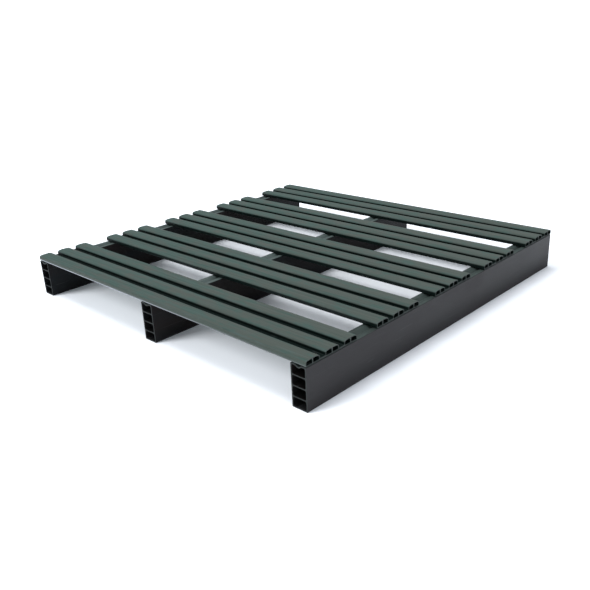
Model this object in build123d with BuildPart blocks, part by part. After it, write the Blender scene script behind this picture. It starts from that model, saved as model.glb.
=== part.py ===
from build123d import *
import os

# Plastic pallet screwed together from hollow extrusions: three stringers carry five ribbed deck boards,
# with a thin rubber pad in each crossing.
# Millimetres, +Z up. X runs along the deck boards and Y along the stringers, from front to back.
# The origin is on the floor, under the middle of the pallet.

# ---- Driving dimensions: the whole pallet ----
pallet_length = 1100.0  # along the deck boards
pallet_depth = 1100.0  # along the stringers
board_count = 5

# ---- Driving dimensions: the stringer's section ----
stringer_width = 44.0
stringer_height = 105.0
stringer_wall = 3.0
stringer_corner_radius = 2.0
web_count = 3
web_thickness = 2.6
web_pitch = 26.0
chamber_radius = 4.0
groove_depth = 4.5  # drill groove along the middle of the top
groove_mouth = 20.0
groove_floor = 2.0
groove_radius = 1.0  # where the wall bends into and out of the groove

# ---- Driving dimensions: the pads between the boards and the stringers ----
pad_thickness = 2.0
pad_width = 38.0
pad_length = 155.0
pad_corner_radius = 3.0
pad_hole_radius = 3.0

# ---- Driving dimensions: the deck board's section ----
ribs_per_board = 3
rib_pitch = 60.5
rib_width = 42.0
rib_height = 14.0  # underside of the board to the crest of a rib
shoulder_height = 12.6  # where a rib's side would meet its sloping shoulder
crest_width = 16.0
crest_radius = 40.0
rib_edge_radius = 6.0
rib_wall = 1.8
rib_web_thickness = 3.0
cell_radius = 1.5
base_thickness = 3.0
base_corner_radius = 1.0
valley_radius = 1.5  # where a rib rises from the base

# ---- Driving dimensions: the countersunk screws ----
head_radius = 5.0
head_rim = 0.4
head_cone_angle = 90.0  # so the cone is as deep as the step from the head to the neck is wide
screw_length = 28.0  # overall
thread_depth = 8.2  # top of the head to the first turn of the thread
neck_radius = 2.1
thread_radius = 2.4
core_radius = 1.8
thread_pitch = 1.8
thread_count = 9
tip_radius = 0.3
recess_length = 5.2
recess_width = 1.1
recess_depth = 1.5
board_hole_radius = 2.6
stringer_hole_radius = 2.45

tolerance = 0.01  # for picking corners by their place

# ---- Sizes that follow from them ----
board_width = (ribs_per_board - 1) * rib_pitch + rib_width
board_pitch = (pallet_depth - board_width) / (board_count - 1)
outer_stringer_offset = (pallet_length - stringer_width) / 2
chamber_side = stringer_width / 2 - stringer_wall
deck_underside = stringer_height + pad_thickness
base_top = deck_underside + base_thickness
groove_bottom = stringer_height - groove_depth
stringer_hole_depth = groove_depth + stringer_wall + groove_radius

stringer_positions = {
    "left": -outer_stringer_offset,
    "middle": 0.0,
    "right": outer_stringer_offset,
}
board_centres = [(index - (board_count - 1) / 2) * board_pitch for index in range(board_count)]
rib_centres = [(index - (ribs_per_board - 1) / 2) * rib_pitch for index in range(ribs_per_board)]
board_valleys = [(index - (ribs_per_board - 2) / 2) * rib_pitch for index in range(ribs_per_board - 1)]
web_heights = [stringer_height / 2 + (index - (web_count - 1) / 2) * web_pitch for index in range(web_count)]
screw_rows = [centre + valley for centre in board_centres for valley in board_valleys]


def make_stringer(centre_x, label):
    """One runner: its section is drawn across the pallet and drawn out from front to back."""
    section = Plane(origin=(centre_x, 0, 0), x_dir=(1, 0, 0), z_dir=(0, -1, 0))
    side = stringer_width / 2
    with BuildPart() as stringer:
        with BuildSketch(section) as profile:
            with BuildLine():
                Polyline(
                    (-side, 0),
                    (side, 0),
                    (side, stringer_height),
                    (groove_mouth / 2, stringer_height),
                    (groove_floor / 2, groove_bottom),
                    (-groove_floor / 2, groove_bottom),
                    (-groove_mouth / 2, stringer_height),
                    (-side, stringer_height),
                    close=True,
                )
            make_face()
            columns = profile.vertices().group_by(Axis.X)
            fillet(columns[0] + columns[-1], stringer_corner_radius)
            groove_bends = profile.vertices().filter_by(lambda vertex: abs(vertex.X) <= groove_mouth / 2)
            fillet(groove_bends, groove_radius)
            offset(amount=-stringer_wall, mode=Mode.SUBTRACT)
            with Locations(*[(0, height) for height in web_heights]):
                Rectangle(stringer_width - stringer_wall, web_thickness)
            chamber_corners = profile.vertices().filter_by(
                lambda vertex: abs(abs(vertex.X) - chamber_side) < tolerance
            )
            fillet(chamber_corners, chamber_radius)
        extrude(amount=pallet_depth / 2, both=True)
        with Locations(*[(centre_x, row, stringer_height) for row in screw_rows]):
            Hole(radius=stringer_hole_radius, depth=stringer_hole_depth)
    stringer.part.label = label
    export_step(stringer.part, f"parts/{label}.step")


def make_pad(centre_x, centre_y, label):
    """One flat rubber pad between a board and a stringer, with a hole for each of the two screws."""
    with BuildPart() as pad:
        with BuildSketch(Plane(origin=(centre_x, centre_y, stringer_height))):
            RectangleRounded(pad_width, pad_length, pad_corner_radius)
            with Locations(*[(0, valley) for valley in board_valleys]):
                Circle(pad_hole_radius, mode=Mode.SUBTRACT)
        extrude(amount=pad_thickness)
    pad.part.label = label
    export_step(pad.part, f"parts/{label}.step")


def make_deck_board(centre_y, label):
    """One ribbed deck board: its section is drawn from front to back and drawn out along the pallet."""
    section = Plane(origin=(0, centre_y, deck_underside), x_dir=(0, 1, 0), z_dir=(1, 0, 0))
    with BuildPart() as board:
        with BuildSketch(section) as profile:
            Rectangle(board_width, base_thickness, align=(Align.CENTER, Align.MIN))
            with BuildSketch(mode=Mode.PRIVATE) as rib:
                with BuildLine():
                    Polyline(
                        (-rib_width / 2, 0),
                        (rib_width / 2, 0),
                        (rib_width / 2, shoulder_height),
                        (crest_width / 2, rib_height),
                        (-crest_width / 2, rib_height),
                        (-rib_width / 2, shoulder_height),
                        close=True,
                    )
                make_face()
                fillet(rib.vertices().group_by(Axis.Y)[1], rib_edge_radius)
                fillet(rib.vertices().group_by(Axis.Y)[-1], crest_radius)
            with BuildSketch(mode=Mode.PRIVATE) as cells:
                add(rib.sketch)
                offset(amount=-rib_wall, mode=Mode.REPLACE)
                Rectangle(rib_web_thickness, 2 * rib_height, mode=Mode.SUBTRACT)
                rows = cells.vertices().group_by(Axis.Y)
                fillet(rows[0] + rows[-1], cell_radius)
            with Locations(*[(centre, 0) for centre in rib_centres]):
                add(rib.sketch)
                add(cells.sketch, mode=Mode.SUBTRACT)
            valley_corners = profile.vertices().filter_by(
                lambda vertex: abs(vertex.Y - base_thickness) < tolerance
                and abs(vertex.X) < board_width / 2 - tolerance
            )
            fillet(valley_corners, valley_radius)
            fillet(profile.vertices().group_by(Axis.Y)[0], base_corner_radius)
        extrude(amount=pallet_length / 2, both=True)
        hole_rows = [centre_y + valley for valley in board_valleys]
        with Locations(*[(x, row, base_top) for x in stringer_positions.values() for row in hole_rows]):
            CounterSinkHole(
                radius=board_hole_radius,
                counter_sink_radius=head_radius + head_rim,
                counter_sink_angle=head_cone_angle,
                depth=2 * base_thickness,
            )
    board.part.label = label
    export_step(board.part, f"parts/{label}.step")


def make_screw():
    """One self-drilling screw, upright, with the flat top of its countersunk head at the origin."""
    head_height = head_rim + head_radius - neck_radius
    thread = []
    for turn in range(thread_count):
        root = -thread_depth - turn * thread_pitch
        thread.append((core_radius, root))
        thread.append((thread_radius, root - thread_pitch / 2))
    thread_end = -thread_depth - thread_count * thread_pitch
    with BuildPart() as screw:
        with BuildSketch(Plane.XZ):
            with BuildLine():
                Polyline(
                    (0, 0),
                    (0, -screw_length),
                    (tip_radius, -screw_length),
                    (core_radius, thread_end - thread_pitch),
                    (core_radius, thread_end),
                    *reversed(thread),
                    (neck_radius, -thread_depth),
                    (neck_radius, -head_height),
                    (head_radius, -head_rim),
                    (head_radius, 0),
                    close=True,
                )
            make_face()
        revolve(axis=Axis.Z)
        with BuildSketch():
            Rectangle(recess_length, recess_width)
            Rectangle(recess_width, recess_length)
        extrude(amount=-recess_depth, mode=Mode.SUBTRACT)
    return screw.part


def make_screw_pair(screw, centre_x, centre_y, label):
    """The two screws that hold one board to one stringer, one in each valley between its ribs."""
    with BuildPart() as pair:
        with Locations(*[(centre_x, centre_y + valley, base_top) for valley in board_valleys]):
            add(screw)
    pair.part.label = label
    export_step(pair.part, f"parts/{label}.step")


os.makedirs("parts", exist_ok=True)

for position, x in stringer_positions.items():
    make_stringer(x, f"stringer_{position}")

for number, y in enumerate(board_centres, start=1):
    make_deck_board(y, f"deck_board_{number}")

single_screw = make_screw()
for number, y in enumerate(board_centres, start=1):
    for position, x in stringer_positions.items():
        make_pad(x, y, f"pad_board_{number}_{position}")
        make_screw_pair(single_screw, x, y, f"screws_board_{number}_{position}")
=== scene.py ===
import math

import bpy
from mathutils import Matrix, Vector


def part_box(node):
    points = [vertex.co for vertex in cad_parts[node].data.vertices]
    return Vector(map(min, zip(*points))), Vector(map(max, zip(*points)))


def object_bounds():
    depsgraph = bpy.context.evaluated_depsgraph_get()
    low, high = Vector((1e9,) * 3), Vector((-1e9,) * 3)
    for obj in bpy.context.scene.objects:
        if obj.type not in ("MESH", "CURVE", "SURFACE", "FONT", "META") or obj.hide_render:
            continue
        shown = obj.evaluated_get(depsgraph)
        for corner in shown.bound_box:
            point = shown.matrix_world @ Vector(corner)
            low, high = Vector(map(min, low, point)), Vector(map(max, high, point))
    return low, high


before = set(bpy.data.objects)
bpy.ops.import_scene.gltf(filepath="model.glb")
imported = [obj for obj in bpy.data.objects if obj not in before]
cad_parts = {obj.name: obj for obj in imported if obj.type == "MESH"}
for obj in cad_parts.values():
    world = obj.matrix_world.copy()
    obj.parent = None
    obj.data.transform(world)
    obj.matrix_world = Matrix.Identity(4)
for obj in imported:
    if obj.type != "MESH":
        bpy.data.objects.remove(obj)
cad_low, cad_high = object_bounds()

# Plastic pallet: every piece is a CAD node, and this script gives each one its finish.
# Metres, +Z up. X runs along the deck boards and Y along the stringers.

# ---- Places taken from the frame ----
half_length = cad_high.x
half_depth = cad_high.y
deck_top = cad_high.z
deck_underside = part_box("deck_board_1")[0].z
millimetre = 0.001

# ---- Camera ----
camera_place = Vector((1.4088, -1.4396, 0.7672))
camera_azimuth = 44.66  # degrees, 0 looks along +Y
camera_elevation = 22.12  # degrees above the horizon
camera_roll = -2.85  # degrees
camera_lens = 42.40
camera_sensor = 36.0

# ---- Floor and light ----
floor_half_width = 40.0
floor_colour = (0.84, 0.87, 0.92, 1.0)
floor_roughness = 0.9
floor_gloss = 0.1
sky_colour = (0.95, 0.975, 1.0, 1.0)
backdrop_strength = 1.4  # the sky as the camera sees it, as white as the floor
dome_strength = 0.9  # the sky as a source of diffuse light
low_gloss_strength = 0.38  # the sky in reflections, near the horizon and overhead
high_gloss_strength = 0.6
low_gloss_height = 0.25  # heights on a sphere of radius 1
high_gloss_height = 0.8
# Each softbox: strength, degrees from the front towards the right, degrees above the horizon,
# and width in degrees.
softboxes = {
    "overhead": (1.6, -80.0, 79.0, 26.0),
}
# The same for the light that falls on the floor alone.
floor_softboxes = {
    "front_left": (3.0, -30.0, 35.0, 30.0),
}

# ---- Sockets of a Mix node, by number because their names repeat ----
mix_factor = 0
mix_first_float = 2
mix_second_float = 3
mix_first_colour = 6
mix_second_colour = 7
mix_float_result = 0
mix_colour_result = 2


class Finish:
    """One material under construction: it adds nodes and joins them to a Principled shader."""

    def __init__(self, name, constants):
        self.material = bpy.data.materials.new(name)
        self.material.use_nodes = True
        self.tree = self.material.node_tree
        self.tree.nodes.clear()
        output = self.tree.nodes.new("ShaderNodeOutputMaterial")
        self.shader = self.tree.nodes.new("ShaderNodeBsdfPrincipled")
        self.tree.links.new(self.shader.outputs["BSDF"], output.inputs["Surface"])
        for socket, value in constants.items():
            self.shader.inputs[socket].default_value = value
        self.place = self.tree.nodes.new("ShaderNodeTexCoord").outputs["Object"]
        self.x, self.y, self.z = self.split(self.place)
        normal = self.tree.nodes.new("ShaderNodeNewGeometry").outputs["Normal"]
        self.facing = [self.math("ABSOLUTE", part) for part in self.split(normal)]

    def put(self, socket, value):
        """Sets a socket, or joins it where the value is another node's output."""
        if isinstance(value, bpy.types.NodeSocket):
            self.tree.links.new(value, socket)
        else:
            socket.default_value = value

    def split(self, vector):
        """The three parts of a vector."""
        node = self.tree.nodes.new("ShaderNodeSeparateXYZ")
        self.put(node.inputs[0], vector)
        return [node.outputs[axis] for axis in range(3)]

    def math(self, operation, *values):
        """The result of one Math node."""
        node = self.tree.nodes.new("ShaderNodeMath")
        node.operation = operation
        for index, value in enumerate(values):
            self.put(node.inputs[index], value)
        return node.outputs[0]

    def both(self, first, second):
        """Product of two values: of two masks, the part where both of them hold."""
        return self.math("MULTIPLY", first, second)

    def ease(self, value, start, end, low=0.0, high=1.0):
        """Goes smoothly from low to high while the value goes from start to end."""
        node = self.tree.nodes.new("ShaderNodeMapRange")
        node.interpolation_type = "SMOOTHSTEP"
        for socket, part in zip(node.inputs, (value, start, end, low, high)):
            self.put(socket, part)
        return node.outputs[0]

    def outermost(self, coordinate, edge, margin):
        """Mask of what lies at either outer edge: full in its last millimetre, none beyond the margin."""
        return self.ease(self.math("ABSOLUTE", coordinate), edge - margin, edge - millimetre)

    def noise(self, frequency, detail=2.0, roughness=0.5, distortion=0.0, turn=(0, 0, 0), shift=(0, 0, 0)):
        """Noise with its own frequency, per metre, along each axis."""
        mapping = self.tree.nodes.new("ShaderNodeMapping")
        self.put(mapping.inputs["Vector"], self.place)
        mapping.inputs["Location"].default_value = shift
        mapping.inputs["Rotation"].default_value = turn
        mapping.inputs["Scale"].default_value = frequency
        node = self.tree.nodes.new("ShaderNodeTexNoise")
        self.put(node.inputs["Vector"], mapping.outputs[0])
        node.inputs["Scale"].default_value = 1.0
        node.inputs["Detail"].default_value = detail
        node.inputs["Roughness"].default_value = roughness
        node.inputs["Distortion"].default_value = distortion
        return node.outputs["Fac"]

    def blend(self, share, first, second):
        """Colour that goes from the first to the second as the share goes from 0 to 1."""
        node = self.tree.nodes.new("ShaderNodeMix")
        node.data_type = "RGBA"
        self.put(node.inputs[mix_factor], share)
        self.put(node.inputs[mix_first_colour], first)
        self.put(node.inputs[mix_second_colour], second)
        return node.outputs[mix_colour_result]

    def bump(self, height, distance, strength, below=None):
        """Relief on the surface, or on top of the relief below it."""
        node = self.tree.nodes.new("ShaderNodeBump")
        self.put(node.inputs["Height"], height)
        node.inputs["Distance"].default_value = distance
        node.inputs["Strength"].default_value = strength
        if below is not None:
            self.put(node.inputs["Normal"], below)
        return node.outputs["Normal"]

    def done(self, colour, roughness, normal):
        """Joins the finished channels to the shader and gives back the material."""
        self.put(self.shader.inputs["Base Color"], colour)
        self.put(self.shader.inputs["Roughness"], roughness)
        self.put(self.shader.inputs["Normal"], normal)
        return self.material


def extruded(along, fine, coarse):
    """Noise frequencies for marks that run along one axis of an extrusion."""
    return [coarse if axis == along else fine for axis in range(3)]


def extrusion_relief(finish, streaks, die_lines, grain, saw_marks, below=None):
    """Relief of an extruded piece: streaks and die lines along it, a fine grain and sawn ends."""
    relief = finish.bump(streaks, 0.4 * millimetre, 0.25, below)
    relief = finish.bump(die_lines, 0.12 * millimetre, 0.5, relief)
    relief = finish.bump(grain, 0.05 * millimetre, 0.4, relief)
    return finish.bump(saw_marks, 0.3 * millimetre, 0.6, relief)


def deck_finish():
    """Dark green recycled plastic, drawn out along X, with worn edges, painted shade in the valleys and sawn
    ends.
    """
    finish = Finish("deck_plastic_finish", {"IOR": 1.45})
    face_x, face_y, face_z = finish.facing
    flat = finish.ease(face_z, 0.9, 0.99)
    green = (0.038, 0.078, 0.066, 1)
    grey = (0.056, 0.073, 0.062, 1)
    bruised = (0.024, 0.055, 0.048, 1)
    pale = (0.07, 0.10, 0.095, 1)
    groove_shade = (0.004, 0.009, 0.008, 1)
    dust = (0.060, 0.066, 0.064, 1)
    sawn = (0.026, 0.032, 0.030, 1)
    sawn_pale = (0.050, 0.058, 0.056, 1)
    base_highlight = (0.36, 0.38, 0.42, 1)

    patches = finish.noise((15, 50, 50), detail=5, roughness=0.62)
    streaks = finish.noise(extruded(0, 160, 2.5), detail=3, roughness=0.6)
    die_lines = finish.noise(extruded(0, 900, 1.5), detail=2)
    grain = finish.noise((1600, 1600, 1600), detail=2)
    wear_noise = finish.noise((14, 60, 60), detail=4, roughness=0.65)
    scratches = finish.noise((7, 420, 60), detail=1, distortion=0.6, turn=(0, 0, 0.35))
    dirt_noise = finish.noise((18, 70, 70), detail=3, shift=(2, 5, 1))

    # Green mottled with grey, a little greyer towards the right, and darker streaks.
    towards_right = finish.ease(finish.x, -half_length, half_length, low=-0.05, high=0.08)
    greyness = finish.ease(finish.math("ADD", patches, towards_right), 0.42, 0.60)
    colour = finish.blend(greyness, green, grey)
    colour = finish.blend(finish.ease(streaks, 0.52, 0.75, high=0.55), colour, bruised)

    # Paler where the rounded edges are worn, and fine scratches on the crests.
    worn = finish.both(finish.ease(face_z, 0.25, 0.75), finish.ease(face_z, 0.985, 0.93))
    worn = finish.both(worn, finish.ease(wear_noise, 0.40, 0.62, low=0.15, high=0.75))
    colour = finish.blend(worn, colour, pale)
    scratched = finish.both(finish.ease(scratches, 0.66, 0.70, high=0.5), flat)
    colour = finish.blend(scratched, colour, pale)

    # Painted shade from just below the crests down, darkening the valleys, with some dust on the flat of it.
    # The underside gets no painted shade.
    groove_shade_start = deck_top - 3.5 * millimetre
    groove_shade_full = deck_top - 6.0 * millimetre
    underside_full = deck_underside + 0.2 * millimetre
    underside_end = deck_underside + 0.6 * millimetre
    underside = finish.both(finish.ease(finish.z, underside_full, underside_end, low=1, high=0), flat)
    groove_shade_mask = finish.both(finish.ease(finish.z, groove_shade_start, groove_shade_full), finish.math("SUBTRACT", 1, underside))
    colour = finish.blend(groove_shade_mask, colour, groove_shade)
    settled = finish.both(groove_shade_mask, finish.ease(dirt_noise, 0.56, 0.70, high=0.35))
    colour = finish.blend(finish.both(settled, flat), colour, dust)

    # The front and back faces are plain grey, without the painted groove shade. Along their base runs a
    # painted highlight, a pale strip standing in for light off the floor, weaker towards the right.
    base_highlight_start = deck_underside + 3.6 * millimetre
    base_highlight_full = deck_underside + 2.4 * millimetre
    outer = finish.both(finish.outermost(finish.y, half_depth, 2 * millimetre), finish.ease(face_y, 0.2, 0.6))
    colour = finish.blend(outer, colour, grey)
    base_highlight_mask = finish.both(
        finish.ease(finish.z, base_highlight_start, base_highlight_full),
        finish.ease(wear_noise, 0.25, 0.6, low=0.7),
    )
    highlight_fading = finish.ease(finish.x, -0.4 * half_length, 0.9 * half_length, low=1, high=0.15)
    colour = finish.blend(finish.both(outer, finish.both(base_highlight_mask, highlight_fading)), colour, base_highlight)

    end = finish.ease(face_x, 0.5, 0.8)
    saw_marks = finish.noise((60, 90, 1300), detail=1, turn=(0.5, 0, 0))
    colour = finish.blend(end, colour, finish.blend(saw_marks, sawn, sawn_pale))

    # Less gloss where the painted groove shade lies.
    finish.put(finish.shader.inputs["Specular IOR Level"], finish.ease(groove_shade_mask, 0, 1, low=0.45, high=0.12))
    roughness = finish.ease(streaks, 0.3, 0.7, low=0.36, high=0.50)
    roughness = finish.math("ADD", roughness, finish.both(end, 0.2))
    roughness = finish.math("ADD", roughness, finish.both(worn, 0.12))
    relief = extrusion_relief(finish, streaks, die_lines, grain, finish.both(saw_marks, end))
    return finish.done(colour, roughness, relief)


def stringer_finish():
    """Charcoal plastic, drawn out along Y, with a painted floor reflection on the outer sides, a dusty top
    and sawn ends.
    """
    finish = Finish("stringer_plastic_finish", {"IOR": 1.5})
    face_y, face_z = finish.facing[1:]
    charcoal = (0.009, 0.0095, 0.0100, 1)
    brownish = (0.012, 0.0095, 0.0095, 1)
    bluish = (0.008, 0.010, 0.012, 1)
    floor_reflection_grey = (0.029, 0.028, 0.030, 1)
    pale = (0.050, 0.052, 0.055, 1)
    dust = (0.046, 0.062, 0.058, 1)
    thick_dust = (0.078, 0.103, 0.099, 1)
    sawn = (0.026, 0.030, 0.029, 1)
    sawn_pale = (0.045, 0.050, 0.050, 1)

    patches = finish.noise((9, 5, 9), detail=3)
    tints = finish.noise((4, 2.2, 12), detail=2, shift=(3, 1, 2))
    streaks = finish.noise(extruded(1, 140, 2.0), detail=3, roughness=0.6)
    die_lines = finish.noise(extruded(1, 900, 1.5), detail=2)
    grain = finish.noise((1500, 1500, 1500), detail=2)
    wear_noise = finish.noise((60, 18, 60), detail=4, roughness=0.65)
    scratches = finish.noise((60, 8, 420), detail=1, distortion=0.8, turn=(0.2, 0, 0))

    # Nearly black, in brownish and bluish patches and streaks.
    colour = finish.blend(finish.ease(patches, 0.38, 0.62), charcoal, brownish)
    colour = finish.blend(finish.ease(tints, 0.48, 0.66, high=0.8), colour, bluish)
    colour = finish.blend(finish.ease(streaks, 0.55, 0.8, high=0.5), colour, bluish)

    # Lighter on the pallet's left and right sides, more so higher up and towards the front, in patches: a
    # painted reflection of the bright floor beside the pallet.
    outer_side_reflection = finish.both(
        finish.outermost(finish.x, half_length, 3 * millimetre),
        finish.ease(finish.z, 0, deck_underside * 0.7, low=0.9),
    )
    outer_side_reflection = finish.both(outer_side_reflection, finish.ease(finish.y, -half_depth, half_depth, low=1, high=0.7))
    outer_side_reflection = finish.both(outer_side_reflection, finish.ease(patches, 0.3, 0.7, low=0.75))
    colour = finish.blend(outer_side_reflection, colour, floor_reflection_grey)

    # Paler where it has rubbed on floors, and scratched all over.
    floor_wear_start = 7 * millimetre
    floor_wear_full = 1 * millimetre
    floor_wear = finish.both(
        finish.ease(finish.z, floor_wear_start, floor_wear_full),
        finish.ease(wear_noise, 0.42, 0.6, low=0.1, high=0.8),
    )
    colour = finish.blend(floor_wear, colour, pale)
    colour = finish.blend(finish.ease(scratches, 0.69, 0.73, high=0.35), colour, pale)

    # Dust on the top, thinner on the right-hand stringer. Flat faces lower than dust_start stay clean.
    dust_start = deck_underside * 0.88
    dust_full = deck_underside * 0.92
    top = finish.both(finish.ease(face_z, 0.6, 0.95), finish.ease(finish.z, dust_start, dust_full))
    top = finish.both(top, finish.ease(wear_noise, 0.3, 0.6, low=0.6))
    thinner = finish.ease(finish.x, 0.2 * half_length, 0.8 * half_length)
    colour = finish.blend(top, colour, finish.blend(thinner, thick_dust, dust))

    end = finish.ease(face_y, 0.5, 0.8)
    saw_marks = finish.noise((90, 60, 1300), detail=1, turn=(0, 0.5, 0))
    colour = finish.blend(end, colour, finish.blend(saw_marks, sawn, sawn_pale))

    gloss = finish.ease(finish.z, 0, deck_underside * 0.6, low=0.06, high=0.12)
    finish.put(finish.shader.inputs["Specular IOR Level"], gloss)
    roughness = finish.ease(patches, 0.35, 0.65, low=0.38, high=0.50)
    roughness = finish.math("ADD", roughness, finish.both(end, 0.22))
    roughness = finish.math("ADD", roughness, finish.both(floor_wear, 0.15))
    waves = finish.bump(patches, 1.5 * millimetre, 0.3)
    relief = extrusion_relief(finish, streaks, die_lines, grain, finish.both(saw_marks, end), waves)
    return finish.done(colour, roughness, relief)


def pad_finish():
    """Matt black sheet with a fine grain and a little dust; its black is partly painted shade for the dark
    gap between each board and stringer.
    """
    finish = Finish("pad_shade_sheet_finish", {"IOR": 1.5, "Specular IOR Level": 0.3})
    black = (0.006, 0.006, 0.006, 1)
    dusty = (0.022, 0.022, 0.021, 1)
    dust = finish.noise((90, 90, 90), detail=4, roughness=0.6)
    grain = finish.noise((1800, 1800, 1800), detail=2)
    colour = finish.blend(finish.ease(dust, 0.45, 0.7), black, dusty)
    roughness = finish.ease(dust, 0.4, 0.7, low=0.7, high=0.85)
    relief = finish.bump(grain, 0.1 * millimetre, 0.5)
    return finish.done(colour, roughness, relief)


def screw_finish():
    """Zinc-plated steel with fine brushing, dulled in patches."""
    finish = Finish("screw_steel_finish", {"Metallic": 1.0})
    bright = (0.16, 0.165, 0.17, 1)
    dull = (0.05, 0.05, 0.05, 1)
    brushing = finish.noise((400, 4000, 4000), detail=2)
    tarnish = finish.noise((260, 260, 260), detail=4, roughness=0.6)
    colour = finish.blend(finish.ease(tarnish, 0.40, 0.62), bright, dull)
    roughness = finish.ease(tarnish, 0.35, 0.65, low=0.28, high=0.5)
    relief = finish.bump(brushing, 0.03 * millimetre, 0.5)
    return finish.done(colour, roughness, relief)


def dress(finishes):
    """Gives every CAD node the finish that its name calls for."""
    for name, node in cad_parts.items():
        kind = next(start for start in finishes if name.startswith(start))
        for material_slot in node.material_slots:
            material_slot.material = finishes[kind]


def add_floor():
    """One large pale square, level with the bottom of the stringers."""
    mesh = bpy.data.meshes.new("floor")
    reach = floor_half_width
    corners = [(-reach, -reach, 0), (reach, -reach, 0), (reach, reach, 0), (-reach, reach, 0)]
    mesh.from_pydata(corners, [], [(0, 1, 2, 3)])
    floor = bpy.data.objects.new("floor", mesh)
    bpy.context.scene.collection.objects.link(floor)
    material = bpy.data.materials.new("floor_paper")
    material.use_nodes = True
    shader = material.node_tree.nodes["Principled BSDF"]
    shader.inputs["Base Color"].default_value = floor_colour
    shader.inputs["Roughness"].default_value = floor_roughness
    shader.inputs["Specular IOR Level"].default_value = floor_gloss
    mesh.materials.append(material)
    return floor


def add_sky():
    """A pale sky, with separate strengths for the camera, for diffuse light and for reflections."""
    world = bpy.data.worlds.new("studio")
    bpy.context.scene.world = world
    world.use_nodes = True
    nodes = world.node_tree.nodes
    links = world.node_tree.links
    background = nodes["Background"]
    background.inputs["Color"].default_value = sky_colour
    direction = nodes.new("ShaderNodeTexCoord")
    parts = nodes.new("ShaderNodeSeparateXYZ")
    gloss = nodes.new("ShaderNodeMapRange")
    gloss.inputs["From Min"].default_value = low_gloss_height
    gloss.inputs["From Max"].default_value = high_gloss_height
    gloss.inputs["To Min"].default_value = low_gloss_strength
    gloss.inputs["To Max"].default_value = high_gloss_strength
    rays = nodes.new("ShaderNodeLightPath")
    lighting = nodes.new("ShaderNodeMix")
    lighting.inputs[mix_first_float].default_value = dome_strength
    strength = nodes.new("ShaderNodeMix")
    strength.inputs[mix_second_float].default_value = backdrop_strength
    links.new(direction.outputs["Generated"], parts.inputs["Vector"])
    links.new(parts.outputs["Z"], gloss.inputs["Value"])
    links.new(rays.outputs["Is Glossy Ray"], lighting.inputs[mix_factor])
    links.new(gloss.outputs["Result"], lighting.inputs[mix_second_float])
    links.new(rays.outputs["Is Camera Ray"], strength.inputs[mix_factor])
    links.new(lighting.outputs[mix_float_result], strength.inputs[mix_first_float])
    links.new(strength.outputs[mix_float_result], background.inputs["Strength"])


def add_softbox(name, strength, azimuth, elevation, width, receivers=None):
    """A wide soft light that the plastic doesn't mirror, kept to the receivers where they are given."""
    sun = bpy.data.lights.new(name, "SUN")
    sun.energy = strength
    sun.angle = math.radians(width)
    softbox = bpy.data.objects.new(name, sun)
    softbox.rotation_euler = (math.radians(90 - elevation), 0, math.radians(azimuth))
    softbox.visible_glossy = False
    if receivers is not None:
        softbox.light_linking.receiver_collection = receivers
    bpy.context.scene.collection.objects.link(softbox)


def add_light(floor):
    """The sky, the softboxes that light everything and those that light the floor alone."""
    add_sky()
    for name, numbers in softboxes.items():
        add_softbox(name, *numbers)
    floor_alone = bpy.data.collections.new("floor_alone")
    floor_alone.objects.link(floor)
    for name, numbers in floor_softboxes.items():
        add_softbox(name, *numbers, receivers=floor_alone)


def add_camera():
    """The scene's camera, turned by its azimuth, elevation and roll."""
    data = bpy.data.cameras.new("camera")
    data.lens = camera_lens
    data.sensor_width = camera_sensor
    camera = bpy.data.objects.new("camera", data)
    turn = Matrix.Rotation(math.radians(camera_azimuth), 3, "Z")
    tilt = Matrix.Rotation(math.radians(90 - camera_elevation), 3, "X")
    roll = Matrix.Rotation(math.radians(camera_roll), 3, "Z")
    camera.matrix_world = Matrix.Translation(camera_place) @ (turn @ tilt @ roll).to_4x4()
    bpy.context.scene.collection.objects.link(camera)
    bpy.context.scene.camera = camera


add_camera()
add_light(add_floor())
dress(
    {
        "deck_board": deck_finish(),
        "stringer": stringer_finish(),
        "pad": pad_finish(),
        "screws": screw_finish(),
    }
)
bpy.context.scene.view_settings.view_transform = "Standard"
